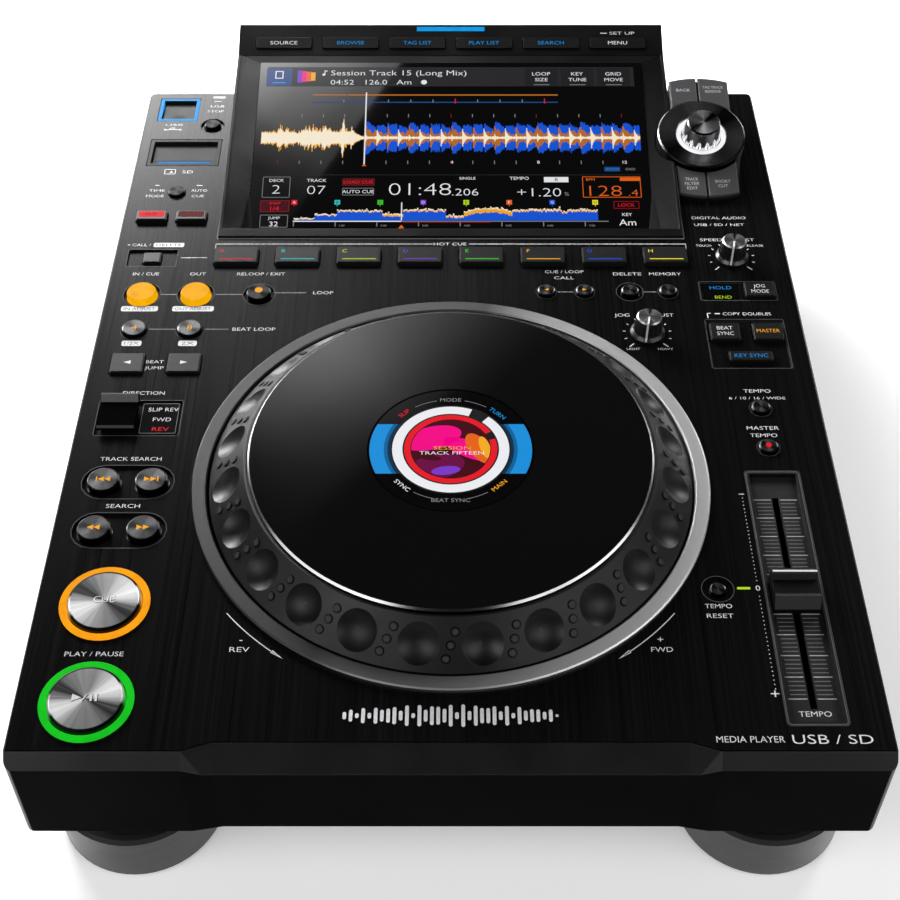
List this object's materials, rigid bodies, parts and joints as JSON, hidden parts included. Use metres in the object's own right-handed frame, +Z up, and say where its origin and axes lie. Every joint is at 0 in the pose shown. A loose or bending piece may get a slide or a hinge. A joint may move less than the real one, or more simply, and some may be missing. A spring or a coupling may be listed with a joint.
{
  "type": "tabletop media player for DJs",
  "caption": "Black tabletop DJ media player with tilted touch display, dimpled jog wheel on a bearing, sprung keys, tempo fader, rotary selector and hinged media covers.",
  "frame": {"origin": "on the floor under the middle of the bounding box", "axes": "+X to the user's right, +Y to the rear, +Z up; the user stands at -Y"},
  "size_m": [0.329, 0.453, 0.1181],
  "materials": {
    "case": "satin",
    "base_plate": "satin",
    "panel": "brushed black anodised",
    "housing": "satin",
    "screen": "gloss",
    "grey_ring": "satin",
    "steel": "turned",
    "display": "gloss",
    "foot": "brushed",
    "connector": "satin",
    "track": "satin",
    "selector_ring": "circular brushed look",
    "lit": "lit from behind",
    "board": "solder mask",
    "wheel": "semi-gloss",
    "plate": "gloss with fine grooves",
    "metal_key": "circular brushed",
    "dark_metal_key": "circular brushed",
    "amber_key": "lit",
    "black_key": "satin",
    "grey_key": "satin",
    "chrome_knob": "polished",
    "black_knob": "satin",
    "door": "satin"
  },
  "bodies": {
    "player": {"upper_case": "case", "bottom_plate": "base_plate", "top_panel": "panel", "display_housing": "housing", "touch_screen": "screen", "jog_surround": "grey_ring", "jog_bearing": "steel", "round_display": "display", "feet": "foot", "rear_connectors": "connector", "fader_track": "track", "selector_base": "selector_ring", "lit_pieces": "lit", "circuit_boards": "board", "case_screws": "base_plate"},
    "jog": {"jog_wheel": "wheel", "jog_top_plate": "plate"},
    "play_button": {"play_button": "metal_key"},
    "cue_button": {"cue_button": "metal_key"},
    "track_back_button": {"track_back_button": "dark_metal_key"},
    "track_next_button": {"track_next_button": "dark_metal_key"},
    "search_back_button": {"search_back_button": "dark_metal_key"},
    "search_forward_button": {"search_forward_button": "dark_metal_key"},
    "direction_lever": {"direction_lever": "black_knob"},
    "beat_jump_back_button": {"beat_jump_back_button": "black_key"},
    "beat_jump_forward_button": {"beat_jump_forward_button": "black_key"},
    "beat_loop_4_button": {"beat_loop_4_button": "black_key"},
    "beat_loop_8_button": {"beat_loop_8_button": "black_key"},
    "loop_in_button": {"loop_in_button": "amber_key"},
    "loop_out_button": {"loop_out_button": "amber_key"},
    "reloop_button": {"reloop_button": "black_key"},
    "call_delete_button": {"call_delete_button": "dark_metal_key"},
    "slip_button": {"slip_button": "black_key"},
    "quantize_button": {"quantize_button": "black_key"},
    "time_mode_button": {"time_mode_button": "dark_metal_key"},
    "usb_stop_button": {"usb_stop_button": "dark_metal_key"},
    "usb_cover": {"usb_cover": "door"},
    "sd_door": {"sd_door": "door"},
    "hot_cue_keys": {"hot_cue_keys": "black_key"},
    "display_keys": {"display_keys": "black_key"},
    "cue_call_back_button": {"cue_call_back_button": "dark_metal_key"},
    "cue_call_forward_button": {"cue_call_forward_button": "dark_metal_key"},
    "delete_button": {"delete_button": "dark_metal_key"},
    "memory_button": {"memory_button": "dark_metal_key"},
    "selector_knob": {"selector_knob": "chrome_knob"},
    "back_button": {"back_button": "grey_key"},
    "tag_track_button": {"tag_track_button": "grey_key"},
    "track_filter_button": {"track_filter_button": "grey_key"},
    "shortcut_button": {"shortcut_button": "grey_key"},
    "vinyl_speed_knob": {"vinyl_speed_knob": "black_knob"},
    "jog_adjust_knob": {"jog_adjust_knob": "black_knob"},
    "jog_mode_button": {"jog_mode_button": "black_key"},
    "beat_sync_button": {"beat_sync_button": "black_key"},
    "master_button": {"master_button": "black_key"},
    "key_sync_button": {"key_sync_button": "black_key"},
    "tempo_range_button": {"tempo_range_button": "dark_metal_key"},
    "master_tempo_button": {"master_tempo_button": "dark_metal_key"},
    "tempo_reset_button": {"tempo_reset_button": "dark_metal_key"},
    "tempo_fader": {"tempo_fader": "black_knob"},
    "power_button": {"power_button": "black_key"}
  },
  "joints": [
    {"name": "jog_turn", "type": "hinge", "parent": "player", "child": "jog", "pos_m": [0, -0.0859, 0.0905], "axis": [0, 0, 1], "continuous": true},
    {"name": "play_button_press", "type": "slide", "parent": "player", "child": "play_button", "axis": [0, 0, -1], "range_m": [0, 0.0012], "stiffness_N_per_m": 400, "springref_m": -0.001},
    {"name": "cue_button_press", "type": "slide", "parent": "player", "child": "cue_button", "axis": [0, 0, -1], "range_m": [0, 0.0012], "stiffness_N_per_m": 400, "springref_m": -0.001},
    {"name": "track_back_button_press", "type": "slide", "parent": "player", "child": "track_back_button", "axis": [0, 0, -1], "range_m": [0, 0.0008], "stiffness_N_per_m": 400, "springref_m": -0.001},
    {"name": "track_next_button_press", "type": "slide", "parent": "player", "child": "track_next_button", "axis": [0, 0, -1], "range_m": [0, 0.0008], "stiffness_N_per_m": 400, "springref_m": -0.001},
    {"name": "search_back_button_press", "type": "slide", "parent": "player", "child": "search_back_button", "axis": [0, 0, -1], "range_m": [0, 0.0008], "stiffness_N_per_m": 400, "springref_m": -0.001},
    {"name": "search_forward_button_press", "type": "slide", "parent": "player", "child": "search_forward_button", "axis": [0, 0, -1], "range_m": [0, 0.0008], "stiffness_N_per_m": 400, "springref_m": -0.001},
    {"name": "direction_lever_rock", "type": "hinge", "parent": "player", "child": "direction_lever", "pos_m": [-0.1463, -0.0509, 0.0775], "axis": [1, 0, 0], "range_deg": [-7, 7]},
    {"name": "beat_jump_back_button_press", "type": "slide", "parent": "player", "child": "beat_jump_back_button", "axis": [0, 0, -1], "range_m": [0, 0.0008], "stiffness_N_per_m": 400, "springref_m": -0.001},
    {"name": "beat_jump_forward_button_press", "type": "slide", "parent": "player", "child": "beat_jump_forward_button", "axis": [0, 0, -1], "range_m": [0, 0.0008], "stiffness_N_per_m": 400, "springref_m": -0.001},
    {"name": "beat_loop_4_button_press", "type": "slide", "parent": "player", "child": "beat_loop_4_button", "axis": [0, 0, -1], "range_m": [0, 0.0008], "stiffness_N_per_m": 400, "springref_m": -0.001},
    {"name": "beat_loop_8_button_press", "type": "slide", "parent": "player", "child": "beat_loop_8_button", "axis": [0, 0, -1], "range_m": [0, 0.0008], "stiffness_N_per_m": 400, "springref_m": -0.001},
    {"name": "loop_in_button_press", "type": "slide", "parent": "player", "child": "loop_in_button", "axis": [0, 0, -1], "range_m": [0, 0.0008], "stiffness_N_per_m": 400, "springref_m": -0.001},
    {"name": "loop_out_button_press", "type": "slide", "parent": "player", "child": "loop_out_button", "axis": [0, 0, -1], "range_m": [0, 0.0008], "stiffness_N_per_m": 400, "springref_m": -0.001},
    {"name": "reloop_button_press", "type": "slide", "parent": "player", "child": "reloop_button", "axis": [0, 0, -1], "range_m": [0, 0.0008], "stiffness_N_per_m": 400, "springref_m": -0.001},
    {"name": "call_delete_button_press", "type": "slide", "parent": "player", "child": "call_delete_button", "axis": [0, 0, -1], "range_m": [0, 0.0008], "stiffness_N_per_m": 400, "springref_m": -0.001},
    {"name": "slip_button_press", "type": "slide", "parent": "player", "child": "slip_button", "axis": [0, 0, -1], "range_m": [0, 0.0008], "stiffness_N_per_m": 400, "springref_m": -0.001},
    {"name": "quantize_button_press", "type": "slide", "parent": "player", "child": "quantize_button", "axis": [0, 0, -1], "range_m": [0, 0.0008], "stiffness_N_per_m": 400, "springref_m": -0.001},
    {"name": "time_mode_button_press", "type": "slide", "parent": "player", "child": "time_mode_button", "axis": [0, 0, -1], "range_m": [0, 0.0008], "stiffness_N_per_m": 400, "springref_m": -0.001},
    {"name": "usb_stop_button_press", "type": "slide", "parent": "player", "child": "usb_stop_button", "axis": [0, 0, -1], "range_m": [0, 0.0008], "stiffness_N_per_m": 400, "springref_m": -0.001},
    {"name": "usb_cover_hinge", "type": "hinge", "parent": "player", "child": "usb_cover", "pos_m": [-0.1473, 0.1886, 0.0879], "axis": [-1, 0, 0], "range_deg": [0, 95]},
    {"name": "sd_door_hinge", "type": "hinge", "parent": "player", "child": "sd_door", "pos_m": [-0.1399, 0.1512, 0.0879], "axis": [-1, 0, 0], "range_deg": [0, 95]},
    {"name": "hot_cue_keys_press", "type": "slide", "parent": "player", "child": "hot_cue_keys", "axis": [0, 0, -1], "range_m": [0, 0.0008], "stiffness_N_per_m": 400, "springref_m": -0.001},
    {"name": "display_keys_press", "type": "slide", "parent": "player", "child": "display_keys", "axis": [0, 0.36, -0.933], "range_m": [0, 0.0008], "stiffness_N_per_m": 400, "springref_m": -0.001},
    {"name": "cue_call_back_button_press", "type": "slide", "parent": "player", "child": "cue_call_back_button", "axis": [0, 0, -1], "range_m": [0, 0.0008], "stiffness_N_per_m": 400, "springref_m": -0.001},
    {"name": "cue_call_forward_button_press", "type": "slide", "parent": "player", "child": "cue_call_forward_button", "axis": [0, 0, -1], "range_m": [0, 0.0008], "stiffness_N_per_m": 400, "springref_m": -0.001},
    {"name": "delete_button_press", "type": "slide", "parent": "player", "child": "delete_button", "axis": [0, 0, -1], "range_m": [0, 0.0008], "stiffness_N_per_m": 400, "springref_m": -0.001},
    {"name": "memory_button_press", "type": "slide", "parent": "player", "child": "memory_button", "axis": [0, 0, -1], "range_m": [0, 0.0008], "stiffness_N_per_m": 400, "springref_m": -0.001},
    {"name": "selector_turn", "type": "hinge", "parent": "player", "child": "selector_knob", "pos_m": [0.1298, 0.1405, 0.103], "axis": [0, -0.2334, 0.9724], "continuous": true},
    {"name": "back_button_press", "type": "slide", "parent": "player", "child": "back_button", "axis": [0, 0.2334, -0.9724], "range_m": [0, 0.0008], "stiffness_N_per_m": 400, "springref_m": -0.001},
    {"name": "tag_track_button_press", "type": "slide", "parent": "player", "child": "tag_track_button", "axis": [0, 0.2334, -0.9724], "range_m": [0, 0.0008], "stiffness_N_per_m": 400, "springref_m": -0.001},
    {"name": "track_filter_button_press", "type": "slide", "parent": "player", "child": "track_filter_button", "axis": [0, 0.2334, -0.9724], "range_m": [0, 0.0008], "stiffness_N_per_m": 400, "springref_m": -0.001},
    {"name": "shortcut_button_press", "type": "slide", "parent": "player", "child": "shortcut_button", "axis": [0, 0.2334, -0.9724], "range_m": [0, 0.0008], "stiffness_N_per_m": 400, "springref_m": -0.001},
    {"name": "vinyl_speed_turn", "type": "hinge", "parent": "player", "child": "vinyl_speed_knob", "pos_m": [0.1373, 0.0581, 0.0905], "axis": [0, 0, 1], "range_deg": [-135, 135]},
    {"name": "jog_adjust_turn", "type": "hinge", "parent": "player", "child": "jog_adjust_knob", "pos_m": [0.0915, 0.0037, 0.0905], "axis": [0, 0, 1], "range_deg": [-135, 135]},
    {"name": "jog_mode_button_press", "type": "slide", "parent": "player", "child": "jog_mode_button", "axis": [0, 0, -1], "range_m": [0, 0.0008], "stiffness_N_per_m": 400, "springref_m": -0.001},
    {"name": "beat_sync_button_press", "type": "slide", "parent": "player", "child": "beat_sync_button", "axis": [0, 0, -1], "range_m": [0, 0.0008], "stiffness_N_per_m": 400, "springref_m": -0.001},
    {"name": "master_button_press", "type": "slide", "parent": "player", "child": "master_button", "axis": [0, 0, -1], "range_m": [0, 0.0008], "stiffness_N_per_m": 400, "springref_m": -0.001},
    {"name": "key_sync_button_press", "type": "slide", "parent": "player", "child": "key_sync_button", "axis": [0, 0, -1], "range_m": [0, 0.0008], "stiffness_N_per_m": 400, "springref_m": -0.001},
    {"name": "tempo_range_button_press", "type": "slide", "parent": "player", "child": "tempo_range_button", "axis": [0, 0, -1], "range_m": [0, 0.0008], "stiffness_N_per_m": 400, "springref_m": -0.001},
    {"name": "master_tempo_button_press", "type": "slide", "parent": "player", "child": "master_tempo_button", "axis": [0, 0, -1], "range_m": [0, 0.0008], "stiffness_N_per_m": 400, "springref_m": -0.001},
    {"name": "tempo_reset_button_press", "type": "slide", "parent": "player", "child": "tempo_reset_button", "axis": [0, 0, -1], "range_m": [0, 0.0008], "stiffness_N_per_m": 400, "springref_m": -0.001},
    {"name": "tempo_fader_slide", "type": "slide", "parent": "player", "child": "tempo_fader", "axis": [0, 1, 0], "range_m": [-0.05, 0.05]},
    {"name": "power_button_press", "type": "slide", "parent": "player", "child": "power_button", "axis": [0, -1, 0], "range_m": [0, 0.002], "stiffness_N_per_m": 400, "springref_m": -0.001}
  ]
}
